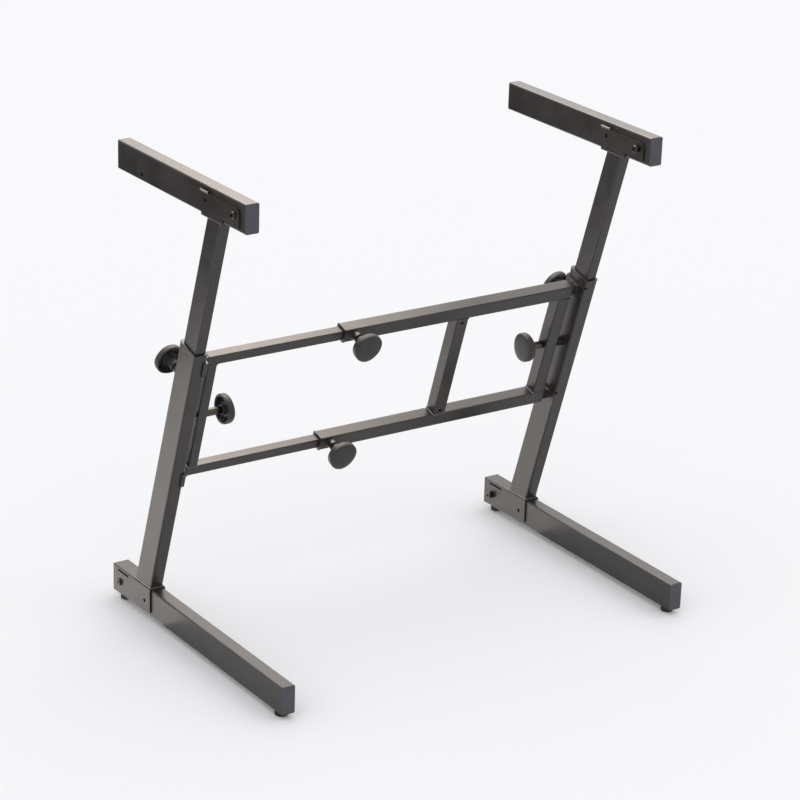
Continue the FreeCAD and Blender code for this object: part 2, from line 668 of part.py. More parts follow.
def hand_screw(name, part_word, where, axis, angle, reach, hub_start):
    """A moulded grip and the steel screw set in its hub."""
    knob = new_part(f"{name}_{part_word}_knob")
    place(knob, where, axis, angle)
    centre = ("0", "0")
    rod(knob, "grip", "knob_across", (*centre, "knob_face - knob_rim"), "knob_rim")
    flat = block(
        knob, "flat", ("-knob_across", "2 * knob_across"), ("knob_flat", "knob_across"),
        ("knob_face - 2 * knob_rim", "4 * knob_rim"), cut=True,
    )
    flats = knob.newObject("PartDesign::PolarPattern", "flats")
    flats.Originals = [flat]
    turning = [item for item in knob.Origin.OriginFeatures if item.Role == "Z_Axis"]
    flats.Axis = (turning[0], [""])
    flats.Angle = 360
    flats.Occurrences = 3
    knob.Tip = flats
    hollow = "2 * knob_flat - 2 * knob_wall"
    hollow_start = (*centre, "knob_face - 2 * knob_rim")
    rod(knob, "hollow_back", hollow, hollow_start, "2 * knob_rim - knob_floor", cut=True)
    rod(knob, "hub", "hub_across", (*centre, hub_start), f"hub_end - ( {hub_start} )")
    rod(knob, "insert", "stud_across", (*centre, "0"), "knob_top", cut=True)
    stud = new_part(f"{name}_{part_word}_stud")
    place(stud, where, axis, angle)
    rod(stud, "screw", "stud_across", (*centre, f"-( {reach} )"), f"knob_top + {reach}")


def hand_screws():
    """Height screws behind the columns, clamp screws inboard of the uprights, width screws in front."""
    for name, side in SIDES.items():
        height = on_column(f"{side} * half_span", "column_deep / 2", "height_screw_up")
        pressed = "column_deep / 2 - stem_deep / 2 + stem_ahead - stud_clear"
        hand_screw(name, "height", height, X_AXIS, "lean - 90", pressed, "hub_start")
        tube = "rail_wide" if side > 0 else "slider_wide"
        clamp = on_column(f"{side} * ( rail_end - {tube} )", "0", "clamp_screw")
        through = f"{tube} + saddle_gap + main_wall - stud_clear"
        hand_screw(name, "clamp", clamp, Y_AXIS, f"{side} * -90", through, "sleeve_long + hub_gap")
        sleeve = new_part(f"{name}_clamp_sleeve")
        place(sleeve, clamp, Y_AXIS, f"{side} * -90")
        rod(sleeve, "sleeve", "sleeve_across", ("0", "0", "0"), "sleeve_long")
        rod(sleeve, "bore", "stud_bore", ("0", "0", "0"), "sleeve_long", cut=True)
    for level in ("upper", "lower"):
        width = on_column("width_screw - rail_mouth", "-rail_wide / 2", f"{level}_rail")
        pressed = "rail_wide / 2 - slider_wide / 2 - stud_clear"
        hand_screw(level, "width", width, X_AXIS, "lean + 90", pressed, "hub_start")


for unit_name, unit_side in SIDES.items():
    foot(unit_name, unit_side)
    foot_bracket(unit_name, unit_side)
    arm(unit_name, unit_side)
    arm_bracket(unit_name, unit_side)
    columns(unit_name, unit_side)
    saddles(unit_name, unit_side)
rails()
uprights()
hand_screws()

doc.recompute()
for item in doc.Objects:
    if "Invalid" in item.State or "Error" in item.State:
        raise RuntimeError(f"{item.Label} failed: {item.State}")
for part in parts:
    if part.Shape.isNull() or not part.Shape.isValid():
        raise RuntimeError(f"{part.Label} has no valid shape")
for part in parts:
    part.Shape.exportStep(f"parts/{part.Label}.step")
    print(f"{part.Label}: {len(part.Shape.Solids)} solids, {part.Shape.Volume:.0f} mm3")
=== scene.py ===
"""A folding keyboard stand in black powder-coated steel tube, as it looks in use.

The room is in metres, and each piece's own sizes are in millimetres, as a maker measures them.
+X is the player's right, -Y the front, +Z up.
"""

import json
import math

import bmesh
import bpy
from mathutils import Matrix, Vector


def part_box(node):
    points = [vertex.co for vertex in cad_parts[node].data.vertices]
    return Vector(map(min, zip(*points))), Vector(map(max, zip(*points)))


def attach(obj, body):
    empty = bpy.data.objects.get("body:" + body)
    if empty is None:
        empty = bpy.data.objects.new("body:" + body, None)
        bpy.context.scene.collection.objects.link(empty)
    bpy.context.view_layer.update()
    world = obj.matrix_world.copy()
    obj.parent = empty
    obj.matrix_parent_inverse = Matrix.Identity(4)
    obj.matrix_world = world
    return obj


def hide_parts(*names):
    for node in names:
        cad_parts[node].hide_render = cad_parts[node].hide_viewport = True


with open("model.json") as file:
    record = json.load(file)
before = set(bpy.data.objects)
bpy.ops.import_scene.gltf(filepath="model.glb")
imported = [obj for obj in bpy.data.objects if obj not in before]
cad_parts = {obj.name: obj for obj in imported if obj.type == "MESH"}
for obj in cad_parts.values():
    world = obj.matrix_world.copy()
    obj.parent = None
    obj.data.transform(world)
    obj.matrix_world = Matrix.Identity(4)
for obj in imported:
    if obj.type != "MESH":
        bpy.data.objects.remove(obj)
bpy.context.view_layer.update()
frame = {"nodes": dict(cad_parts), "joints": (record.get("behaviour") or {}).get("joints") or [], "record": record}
steel = frame["nodes"]
MM = 0.001


# The frame is cold-rolled steel tube and folded sheet, sawn, punched and welded, then sprayed with a
# polyester powder and baked. The coat is black with a satin gloss, and it rounds every edge a little.
def linear(colour):
    """A hex colour as the eye sees it, turned to the linear values that a shader mixes."""
    parts = [int(colour[at:at + 2], 16) / 255 for at in (1, 3, 5)]
    return (*[part / 12.92 if part <= 0.04045 else ((part + 0.055) / 1.055) ** 2.4 for part in parts], 1.0)


def add(tree, kind, values=(), links=(), **settings):
    """Add a node to a material with its settings, the values of its sockets and its links."""
    item = tree.nodes.new(kind)
    for name, value in settings.items():
        setattr(item, name, value)
    for socket, value in dict(values).items():
        item.inputs[socket].default_value = value
    for socket, source in dict(links).items():
        tree.links.new(source, item.inputs[socket])
    return item


def new_finish(name, **sockets):
    """A material named for its finish, with its even values on the shader's own sockets."""
    made = bpy.data.materials.new(name)
    made.use_nodes = True
    tree = made.node_tree
    tree.nodes.clear()
    values = {word.replace("_", " "): value for word, value in sockets.items()}
    shader = add(tree, "ShaderNodeBsdfPrincipled", values)
    add(tree, "ShaderNodeOutputMaterial", links={"Surface": shader.outputs["BSDF"]})
    return made


def weathered(finish, dark, pale, cloud_mm, smooth, rough, grain_mm, grain_deep_mm, stretch=(1, 1, 1)):
    """Let a finish's colour and gloss drift in clouds, over a grain that catches the light."""
    tree = finish.node_tree
    shader = tree.nodes["Principled BSDF"]
    place = add(tree, "ShaderNodeTexCoord").outputs["Object"]
    along = add(tree, "ShaderNodeMapping", {"Scale": stretch}, {"Vector": place}).outputs["Vector"]
    cloud = add(tree, "ShaderNodeTexNoise", {"Scale": 1 / (cloud_mm * MM), "Detail": 3.0}, {"Vector": along})
    grain = add(tree, "ShaderNodeTexNoise", {"Scale": 1 / (grain_mm * MM), "Detail": 2.0}, {"Vector": along})
    # The noise keeps mostly to this middle span, which is spread over the whole drift.
    middle_span = {"From Min": 0.3, "From Max": 0.7}
    drift = add(tree, "ShaderNodeMapRange", middle_span, {"Value": cloud.outputs["Fac"]}).outputs["Result"]
    # A colour mix takes its share on socket 0 and its two colours on 6 and 7, and gives output 2.
    tint = add(tree, "ShaderNodeMix", {6: linear(dark), 7: linear(pale)}, {0: drift}, data_type="RGBA")
    gloss = add(tree, "ShaderNodeMapRange", {"To Min": smooth, "To Max": rough}, {"Value": drift})
    depth = {"Strength": 1.0, "Distance": grain_deep_mm * MM}
    rise = add(tree, "ShaderNodeBump", depth, {"Height": grain.outputs["Fac"]})
    tree.links.new(tint.outputs[2], shader.inputs["Base Color"])
    tree.links.new(gloss.outputs["Result"], shader.inputs["Roughness"])
    tree.links.new(rise.outputs["Normal"], shader.inputs["Normal"])


def coat(slot, finish):
    """Give a finish to every CAD node of one of the record's material slots."""
    for part in frame["record"]["subparts"]:
        if part["material_slot"] == slot:
            for place in steel[part["node"]].material_slots:
                place.material = finish


# Satin powder coat: the eye sees a soft sheen on every face turned to a light, the faint orange peel of
# a baked powder in waves of about 2 mm, and a slow change of gloss where it lay thicker.
powder_coat = new_finish("satin black powder coat", IOR=1.5)
weathered(
    powder_coat, dark="#231f1d", pale="#2b2725", cloud_mm=55, smooth=0.30, rough=0.37,
    grain_mm=2.2, grain_deep_mm=0.008,
)
coat("powder_coated_steel", powder_coat)


# Weld beads join the tubes: each column to its foot bracket, each arm bracket to its inner column, and
# the rails, uprights, saddle stubs and threaded bosses. They are rippled steel under the same powder.
LEAN = math.radians(17.5)
COLUMN_UP = Vector((0, -math.sin(LEAN), math.cos(LEAN)))
COLUMN_BACK = Vector((0, math.cos(LEAN), math.sin(LEAN)))
RIGHT = Vector((1, 0, 0))
BACK = Vector((0, 1, 0))
UP = Vector((0, 0, 1))
SIDES = {"left": -1, "right": 1}
FRAME_BODY = {"left": "left_frame", "right": "base_frame"}

SPAN = 796  # between the middles of the two side units
FOOT_TOP = 59  # above the floor
AXIS_BACK = 181  # a column's axis at the level of the foot's top, behind the stand's middle
MAIN_WIDE = 25  # the tube of the columns, feet and arms
MAIN_DEEP = 50
RAIL_WIDE = 25  # the square tube of the outer rails, their upright and the brace
SLIDER_WIDE = 18  # the square tube of the rails that slide in them, their upright and the stubs
COLUMN_MOUTH = 503  # the mouth and the two rails are measured up the column from the foot's top
RAIL_LEVELS = (476, 245)


def on_column(x, back, up):
    """The place in the room of a point given along the leaning columns' own directions, in mm."""
    return Vector((x, AXIS_BACK, FOOT_TOP)) * MM + (COLUMN_BACK * back + COLUMN_UP * up) * MM


def skin(rings, looped=False):
    """A closed shell over rings of points: capped at both ends, or joined back to its first ring."""
    count = len(rings[0])
    points = [Vector(point) for ring in rings for point in ring]
    faces = []
    for row in range(len(rings) if looped else len(rings) - 1):
        low = row * count
        high = (row + 1) % len(rings) * count
        for at in range(count):
            beside = (at + 1) % count
            faces.append((low + at, low + beside, high + beside, high + at))
    if not looped:
        faces.append(tuple(range(count)))
        faces.append(tuple(range(len(points) - count, len(points))))
    return points, faces


def piece(name, shells, finish, body, slot, *stands_for, crisp=35):
    """One piece made of shells, smooth but for edges that bend by more than the angle crisp."""
    mesh = bpy.data.meshes.new(name)
    work = bmesh.new()
    for points, faces in shells:
        corners = [work.verts.new(point) for point in points]
        for face in faces:
            work.faces.new([corners[at] for at in face])
    bmesh.ops.recalc_face_normals(work, faces=work.faces)
    work.to_mesh(mesh)
    work.free()
    mesh.shade_smooth()
    mesh.set_sharp_from_angle(angle=math.radians(crisp))
    mesh.materials.append(finish)
    made = bpy.data.objects.new(name, mesh)
    bpy.context.collection.objects.link(made)
    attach(made, body)
    if stands_for:
        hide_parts(*stands_for)


def bead(corners, outward, thick, ripple=1.6, looped=True):
    """A weld bead run along straight stretches, with the ripple that its pool leaves at each step."""
    ends = [*corners, corners[0]] if looped else corners
    spots_a_ripple = 4
    sides = 8
    spots = []
    for start, end in zip(ends, ends[1:]):
        steps = max(2, round((end - start).length / (ripple * MM / spots_a_ripple)))
        spots += [start.lerp(end, step / steps) for step in range(steps)]
    if not looped:
        spots.append(ends[-1])
    turns = [math.tau * step / sides for step in range(sides)]
    rings = []
    for at, spot in enumerate(spots):
        # The bead's direction is taken over two spots each way, which rounds its corners.
        ahead = spots[(at + 2) % len(spots)] if looped else spots[min(at + 2, len(spots) - 1)]
        behind = spots[at - 2] if looped else spots[max(at - 2, 0)]
        side = outward.cross(ahead - behind).normalized()
        ripples = 0.10 * math.sin(at * math.tau / spots_a_ripple)
        wander = 0.08 * math.sin(at * 0.37)
        wave = 1 + ripples + wander
        rings.append([
            spot + (side * math.cos(turn) + outward * math.sin(turn)) * thick * wave * MM for turn in turns
        ])
    return skin(rings, looped)


def rectangle(low, high, near, far):
    """The four corners of a rectangle, in order round it."""
    return [(low, near), (high, near), (high, far), (low, far)]


def upright_bead(x, up, wide):
    """A bead round the end of a square tube that stands between the two rails."""
    spots = rectangle(x - wide / 2, x + wide / 2, -wide / 2, wide / 2)
    return bead([on_column(*spot, up) for spot in spots], COLUMN_UP, thick=0.9)


def stub_bead(x, level, thick):
    """A bead round one end of the square stub that joins a rail to its saddle."""
    half = SLIDER_WIDE / 2
    spots = rectangle(-half, half, level - half, level + half)
    return bead([on_column(x, *spot) for spot in spots], RIGHT, thick)


def level_bead(x, front, rear, height, wide, thick):
    """A bead round a column's end, which is cut level."""
    spots = rectangle(x - wide / 2, x + wide / 2, front, rear)
    return bead([Vector((*spot, height)) * MM for spot in spots], UP, thick)


def boss_bead(x, back, up, thick):
    """A bead round the foot of a threaded boss."""
    boss_across = 17
    stretches = 24
    centre = on_column(x, back, up)
    first = COLUMN_BACK.orthogonal().normalized()
    second = COLUMN_BACK.cross(first)
    turns = [math.tau * step / stretches for step in range(stretches)]
    spots = [centre + (first * math.cos(turn) + second * math.sin(turn)) * boss_across / 2 * MM
             for turn in turns]
    return bead(spots, COLUMN_BACK, thick, ripple=2.0)


# Powder pools over a bead and sets glossier than on the flats, so each bead shows small sharp glints.
weld_coat = new_finish("glossy powder coat over welds", IOR=1.5, Coat_Weight=0.6, Coat_Roughness=0.12)
weathered(
    weld_coat, dark="#231f1d", pale="#2b2725", cloud_mm=20, smooth=0.16, rough=0.24,
    grain_mm=2.2, grain_deep_mm=0.02,
)

foot_bracket_top = 61.5
cut_front, cut_rear = 154.0, 206.4  # a column's level cut, on the foot bracket's top
arm_bracket_bottom = 782.5
post_wide = 20
post_front, post_rear = -70.2, -28.2  # an inner column's level cut, under the arm bracket
saddle_gap = 16  # a rail's end to its column, which the stub and the saddle's sheet fill
saddle_sheet = 2.5
rail_end = SPAN / 2 - MAIN_WIDE / 2 - saddle_gap
saddle_face = SPAN / 2 - MAIN_WIDE / 2 - saddle_sheet
height_screw = COLUMN_MOUTH - 66
width_screw = -85  # right of the stand's middle, as is the brace
brace = 139
upper_rail, lower_rail = RAIL_LEVELS

welds = {"base_frame": [], "left_frame": []}
for name, side in SIDES.items():
    column = side * SPAN / 2
    runs = welds[FRAME_BODY[name]]
    runs.append(level_bead(column, cut_front, cut_rear, foot_bracket_top, MAIN_WIDE, thick=1.6))
    # The wedge under a leaning column's front wall holds more weld, in a run short of its corners.
    wedge = [Vector((column + end, cut_front - 0.8, foot_bracket_top + 0.3)) * MM for end in (-11.5, 11.5)]
    runs.append(bead(wedge, UP, thick=2.0, looped=False))
    runs.append(boss_bead(column, MAIN_DEEP / 2, height_screw, thick=1.3))
    wide = RAIL_WIDE if side > 0 else SLIDER_WIDE
    upright = side * (rail_end - wide / 2)
    runs.append(upright_bead(upright, lower_rail + wide / 2, wide))
    runs.append(upright_bead(upright, upper_rail - wide / 2, wide))
    for level in RAIL_LEVELS:
        runs.append(stub_bead(side * saddle_face, level, thick=1.0))
        runs.append(stub_bead(side * rail_end, level, thick=0.9))
    post = level_bead(column, post_front, post_rear, arm_bracket_bottom, post_wide, thick=1.5)
    piece(f"{name}_arm_bracket_weld", [post], weld_coat, f"{name}_post", "powder_coated_steel")
for level in RAIL_LEVELS:
    welds["base_frame"].append(boss_bead(width_screw, -RAIL_WIDE / 2, level, thick=1.2))
welds["base_frame"].append(upright_bead(brace, lower_rail + RAIL_WIDE / 2, RAIL_WIDE))
welds["base_frame"].append(upright_bead(brace, upper_rail - RAIL_WIDE / 2, RAIL_WIDE))
for body, runs in welds.items():
    piece(f"{body}_welds", runs, weld_coat, body, "powder_coated_steel")


# The tubes' open ends are closed by end caps, each moulded in dark polypropylene with a rounded lip
# over the cut edge and a hollow barbed plug pressed into the tube.
MAIN_CORNER = 3
lip = 2.0
barbs = [(inset, barb + height) for barb in (-10.2, -5.2)
         for inset, height in ((1.9, -0.8), (1.55, 0.0), (1.9, 0.8))]
cap_profile = [  # inset from the tube's outline, height above the tube's cut end
    (3.9, -0.2), (3.9, -15), (2.1, -15), *barbs, (1.7, 0), (0.2, 0.05), (0.0, 0.3), (0.0, 1.0),
    (0.18, 1.5), (0.6, 1.85), (1.3, lip), (4.0, lip),
]


def rounded_ring(wide, deep, corner, height, shift=0.0):
    """A rectangle with round corners, in mm, level at a height of its own frame."""
    points = []
    corner_step = 15
    for quarter, (across, along) in enumerate(((1, 1), (-1, 1), (-1, -1), (1, -1))):
        for step in range(90 // corner_step + 1):
            turn = math.radians(90 * quarter + corner_step * step)
            points.append((
                across * (wide / 2 - corner) + corner * math.cos(turn),
                shift + along * (deep / 2 - corner) + corner * math.sin(turn), height,
            ))
    return points


def seated(shell, origin, x_axis, y_axis, z_axis):
    """A shell modelled in mm about its own axes, set in its place in the room."""
    points, faces = shell
    return [origin + (x_axis * p.x + y_axis * p.y + z_axis * p.z) * MM for p in points], faces


def end_cap(front, box):
    """One cap on the front or rear end of a tube, whose box gives its place."""
    low, high = box
    shell = skin([
        rounded_ring(MAIN_WIDE - 2 * inset, MAIN_DEEP - 2 * inset, max(MAIN_CORNER - inset, 0.5), height)
        for inset, height in cap_profile
    ])
    end = low.y + lip * MM if front else high.y - lip * MM
    out = -BACK if front else BACK
    return seated(shell, Vector(((low.x + high.x) / 2, end, (low.z + high.z) / 2)), RIGHT, UP, out)


# Moulded polypropylene: a cool dark grey against the warm black of the steel, with the fine matt grain
# of a spark-eroded mould, drawn 1 mm coarse so that it shows.
cap_plastic = new_finish("moulded dark grey polypropylene", IOR=1.49)
weathered(
    cap_plastic, dark="#3b3c41", pale="#43444a", cloud_mm=30, smooth=0.46, rough=0.56,
    grain_mm=1.0, grain_deep_mm=0.03,
)
for name in SIDES:
    arm_caps = f"{name}_arm_end_caps"
    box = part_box(arm_caps)
    shells = [end_cap(True, box), end_cap(False, box)]
    piece(f"{name}_arm_caps", shells, cap_plastic, f"{name}_arm", "end_cap_plastic", arm_caps)
    foot_cap = f"{name}_foot_end_cap"
    shells = [end_cap(True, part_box(foot_cap))]
    piece(f"{name}_foot_cap", shells, cap_plastic, f"{name}_foot", "end_cap_plastic", foot_cap)


# Each foot stands on two round pads, moulded in black rubber with a hollow sole. A stud on the pad's
# top is pressed into a hole in the underside of the tube.
pad_radius = 11
pad_profile = [  # radius, height above the floor
    (0.5, 1.6), (4.2, 1.6), (4.8, 0.4), (5.6, 0.0), (9.6, 0.0), (10.6, 0.4), (pad_radius, 1.3),
    (10.9, 5.0), (10.6, 7.9), (10.2, 8.7), (9.4, 9.0), (3.0, 9.0), (3.0, 11.4), (2.4, 12.0), (0.3, 12.0),
]


def turned(profile, sides=48, looped=False):
    """A shell about an axis, through rings of a profile of (reach, height) pairs in mm.

    A reach is a radius, or for a shape that isn't round a function that gives one at each turn.
    """
    rings = []
    for reach, height in profile:
        ring = []
        for step in range(sides):
            turn = math.tau * step / sides
            radius = reach(turn) if callable(reach) else reach
            ring.append((radius * math.cos(turn), radius * math.sin(turn), height))
        rings.append(ring)
    return skin(rings, looped)


# Moulded rubber: dead black and matt, so only its rounded edge catches any light. The fine grain that
# its mould leaves is drawn 1.2 mm coarse so that it shows.
rubber = new_finish("moulded black rubber", IOR=1.52)
weathered(
    rubber, dark="#151515", pale="#1d1c1c", cloud_mm=12, smooth=0.70, rough=0.85,
    grain_mm=1.2, grain_deep_mm=0.05,
)
for name in SIDES:
    low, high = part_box(f"{name}_rubber_feet")
    middle = (low.x + high.x) / 2
    shells = [seated(turned(pad_profile), Vector((middle, back, 0)), RIGHT, BACK, UP)
              for back in (low.y + pad_radius * MM, high.y - pad_radius * MM)]
    piece(f"{name}_foot_pads", shells, rubber, f"{name}_foot", "foot_rubber", f"{name}_rubber_feet")


# A flanged bushing in each outer tube's mouth guides the inner tube. It is moulded in black nylon, snaps
# into the tube, and leaves a fine dark seam where its flange meets the cut edge.
def bushing(wide, deep, corner, wall, bore, bore_corner, shift, long):
    """A bushing about its tube's axis, with the tube's mouth at height 0 and the flange above it."""
    def outer(inset, height):
        return rounded_ring(wide - 2 * inset, deep - 2 * inset, max(corner - inset, 0.4), height)

    def inner(grow, height):
        return rounded_ring(bore[0] + 2 * grow, bore[1] + 2 * grow, bore_corner + grow, height, shift)

    plug = wall + 0.1
    bore_wall = [inner(0, -long), inner(0, 2.0), inner(0.15, 2.5)]
    flange = [outer(-0.5, 2.5), outer(-0.74, 2.4), outer(-0.8, 2.2), outer(-0.8, 0.8), outer(-0.7, 0.62)]
    seam = [outer(0.9, 0.6), outer(0.9, 0.05)]
    plug_wall = [outer(plug, 0.0), outer(plug, -long + 1), outer(plug + 0.3, -long)]
    return skin([*bore_wall, *flange, *seam, *plug_wall], looped=True)


# Moulded nylon: a deep black with a smooth low sheen. The fine grain that its mould leaves is drawn
# 1 mm coarse so that it shows.
nylon = new_finish("moulded black nylon", IOR=1.53)
weathered(
    nylon, dark="#131313", pale="#1b1a19", cloud_mm=18, smooth=0.34, rough=0.44,
    grain_mm=1.0, grain_deep_mm=0.015,
)
coat("bushing_plastic", nylon)
rail_mouth = -106
tab_below_mouth = 12
tab_wide, tab_tall, tab_corner = 2.6, 10.6, 1.2
tab_profile = [(0, -0.8), (0, 0.15), (0.3, 0.4), (0.9, 0.45)]  # inset, height above the tube's face
for name, side in SIDES.items():
    column = side * SPAN / 2
    collar = bushing(
        wide=MAIN_WIDE, deep=MAIN_DEEP, corner=MAIN_CORNER, wall=1.5,
        bore=(20.6, 40.6), bore_corner=2.8, shift=-2, long=30,
    )
    # The snap tab that holds the bushing shows as a small raised oblong in the column's outer face.
    tab = skin([
        rounded_ring(tab_wide - 2 * inset, tab_tall - 2 * inset, tab_corner - inset, height)
        for inset, height in tab_profile
    ])
    tab_place = on_column(column + side * MAIN_WIDE / 2, 0, COLUMN_MOUTH - tab_below_mouth)
    shells = [
        seated(collar, on_column(column, 0, COLUMN_MOUTH), RIGHT, COLUMN_BACK, COLUMN_UP),
        seated(tab, tab_place, COLUMN_UP, COLUMN_BACK, RIGHT * side),
    ]
    node = f"{name}_column_bushing"
    piece(f"{name}_column_collar", shells, nylon, FRAME_BODY[name], "bushing_plastic", node)
collar = bushing(
    wide=RAIL_WIDE, deep=RAIL_WIDE, corner=2.5, wall=1.5,
    bore=(18.6, 18.6), bore_corner=2.3, shift=0, long=15,
)
shells = [seated(collar, on_column(rail_mouth, 0, level), COLUMN_BACK, COLUMN_UP, -RIGHT)
          for level in RAIL_LEVELS]
piece("rail_mouth_collars", shells, nylon, "base_frame", "bushing_plastic", "rail_collars")


# Each folding joint turns on an M8 button-head bolt with a hex socket, held by a lock nut whose nylon
# ring grips the thread. Both are steel, zinc plated and passivated black.
bolt_head = 4


def hexagon(across, limit=math.inf):
    """A hexagon's reach at each turn, with a flat at turn 0 and its corners turned down to a limit."""
    def reach(turn):
        return min(across / 2 / math.cos((turn + math.pi / 6) % (math.pi / 3) - math.pi / 6), limit)
    return reach


def nut_shell():
    """A lock nut with chamfered corners and a rolled collar, from its seat up."""
    across = 13
    chamfered = ((6.5, 0.0), (9.0, 0.75), (9.0, 4.3), (6.4, 5.0))
    collar = ((5.9, 5.1), (5.8, 6.4), (5.3, 6.9), (4.6, 7.0), (4.2, 6.6), (3.95, 6.5), (3.95, 0.0))
    return turned([*[(hexagon(across, limit), height) for limit, height in chamfered], *collar], looped=True)


def bolt_shell(long):
    """A bolt from its tip up through its head, with the socket sunk in the head's flat top."""
    socket = hexagon(4.2)
    return turned([
        (3.0, -long), (3.3, -long), (4.0, 0.8 - long), (4.0, -0.2), (4.2, 0.0),
        (6.3, 0.0), (6.5, 0.25), (6.45, 2.2), (6.1, 3.3), (5.5, 3.85), (4.8, bolt_head), (3.0, bolt_head),
        (socket, 3.85), (socket, 1.6), (1.2, 1.2),
    ])


def on_axis(x, box):
    """The place at x on the line that runs through the middle of a box from side to side."""
    low, high = box
    return Vector((x, (low.y + high.y) / 2, (low.z + high.z) / 2))


# Black zinc: a dark metal that still mirrors a soft highlight, a little uneven where it was handled.
black_zinc = new_finish("black passivated zinc on steel", Metallic=1.0)
weathered(
    black_zinc, dark="#3d3a38", pale="#4d4947", cloud_mm=8, smooth=0.26, rough=0.36,
    grain_mm=1.2, grain_deep_mm=0.006,
)
for name in SIDES:
    for joint, body in (("arm", f"{name}_post"), ("foot", FRAME_BODY[name])):
        node = f"{name}_{joint}_pivot_bolt"
        low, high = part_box(node)
        shell = bolt_shell((high.x - low.x) / MM - bolt_head)
        shell = seated(shell, on_axis(low.x + bolt_head * MM, (low, high)), BACK, UP, -RIGHT)
        piece(f"{name}_{joint}_bolt", [shell], black_zinc, body, "plated_steel", node, crisp=40)
        node = f"{name}_{joint}_pivot_nut"
        low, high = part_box(node)
        shell = seated(nut_shell(), on_axis(low.x, (low, high)), BACK, UP, RIGHT)
        piece(f"{name}_{joint}_lock_nut", [shell], black_zinc, body, "plated_steel", node, crisp=40)


# Six hand screws set the height, the width and the cross-frame. Each is an M8 steel stud moulded into a
# three-sided ABS grip with a gently domed face, a hollow ribbed back and a thick stepped hub.
def grip_reach(share):
    """A share of the grip's reach at each turn: it is nearly round, drawn in by three soft flats."""
    middle_radius = 26.25
    flat_deep = 0.7

    def reach(turn):
        return share * (middle_radius - flat_deep * math.cos(3 * (turn - math.pi / 2)))
    return reach


def grip_shells(hub_start):
    """A grip about its screw's axis, with its face 46 mm above the tube that it stands on."""
    outside = [
        (0.05, 46.0), (0.35, 45.9), (0.62, 45.55), (0.80, 44.95), (0.90, 44.3), (0.955, 43.5),
        (0.985, 42.4), (1.0, 40.8), (1.0, 34.4), (0.99, 32.9), (0.97, 32.2), (0.94, 32.0), (0.90, 32.0),
        (0.865, 32.2), (0.85, 32.8), (0.84, 34.0), (0.82, 41.2), (0.81, 41.8), (0.79, 42.0), (0.56, 42.0),
    ]
    hub = [
        (14.0, 41.6), (13.6, 38.2), (13.1, 37.6), (10.4, 37.2), (9.6, 36.8), (9.2, 35.9),
        (9.0, hub_start + 0.6), (8.5, hub_start), (5.2, hub_start), (4.5, hub_start + 0.5),
        (3.9, hub_start + 1.2), (3.9, hub_start + 4.0),
    ]
    shells = [turned([*[(grip_reach(share), height) for share, height in outside], *hub], sides=96)]
    rib_count = 18
    rib_start = 18.6
    rib_end = grip_reach(0.86)
    half_rib = 0.9
    for step in range(rib_count):
        turn = math.tau * (step + 0.5) / rib_count
        along = Vector((math.cos(turn), math.sin(turn), 0))
        aside = Vector((-math.sin(turn), math.cos(turn), 0))
        rib = [(rib_start, 40.4), (rib_end(turn), 36.2), (rib_end(turn), 42.2), (rib_start, 42.2)]
        shells.append(skin([
            [along * out + aside * half + Vector((0, 0, height)) for out, height in rib]
            for half in (-half_rib, half_rib)
        ]))
    return shells


def thread_reach(height, pitch, taper):
    """An M8 stud's reach at each turn: its crest climbs a pitch a turn, as a real helix does."""
    root = 3.3
    crest = 0.68

    def reach(turn):
        phase = (height / pitch - turn / math.tau) % 1
        return root + crest * (1 - abs(2 * phase - 1)) - taper
    return reach


def threaded_shell(low, high):
    """A length of M8 thread, drawn in over the first stretch at its tip."""
    pitch = 1.25
    rings_a_turn = 6
    drawn_in = 0.7
    tip_long = 0.8
    steps = round((high - low) / (pitch / rings_a_turn))
    profile = []
    for step in range(steps + 1):
        height = low + (high - low) * step / steps
        taper = drawn_in * max(0.0, 1 - (height - low) / tip_long)
        profile.append((thread_reach(height, pitch, taper), height))
    return turned(profile, sides=24)


# Moulded ABS: warm black with a fine leather grain, which spreads the light into a broad low sheen. The
# grain is drawn 1.1 mm coarse so that it shows.
knob_plastic = new_finish("grained black ABS", IOR=1.53, Specular_IOR_Level=0.32)
weathered(
    knob_plastic, dark="#2a2827", pale="#333130", cloud_mm=14, smooth=0.42, rough=0.52,
    grain_mm=1.1, grain_deep_mm=0.03,
)
stud_in_hub = 3
for joint in frame["joints"]:
    if not joint["name"].endswith("_knob_turn"):
        continue
    name = joint["name"].removesuffix("_knob_turn")
    body = knob = f"{name}_knob"
    stud = f"{name}_stud"
    axis = Vector(joint["axis"]).normalized()
    spot = Vector(joint["pos_m"])
    flat_side = BACK if "clamp" in name else COLUMN_UP if "width" in name else -COLUMN_UP
    axes = (flat_side.cross(axis), flat_side, axis)
    hub_start = min((corner.co - spot).dot(axis) for corner in steel[knob].data.vertices) / MM
    tip = min((corner.co - spot).dot(axis) for corner in steel[stud].data.vertices) / MM
    shells = [seated(shell, spot, *axes) for shell in grip_shells(hub_start)]
    piece(f"{name}_grip", shells, knob_plastic, body, "knob_plastic", knob)
    shells = [seated(threaded_shell(tip, hub_start + stud_in_hub), spot, *axes)]
    piece(f"{name}_screw", shells, black_zinc, body, "plated_steel", stud, crisp=80)


# A sleeve 30 mm long keeps each clamp knob clear of its upright. It is cut from drawn steel tube, its
# ends are chamfered and it is zinc plated, and the clamp screw runs through it.
sleeve_long = 30
half_sleeve = [(4.1, 0.5), (4.6, 0.0), (6.4, 0.0), (6.85, 0.2), (7.0, 0.7)]  # radius, height
sleeve_profile = half_sleeve + [(radius, sleeve_long - height) for radius, height in reversed(half_sleeve)]

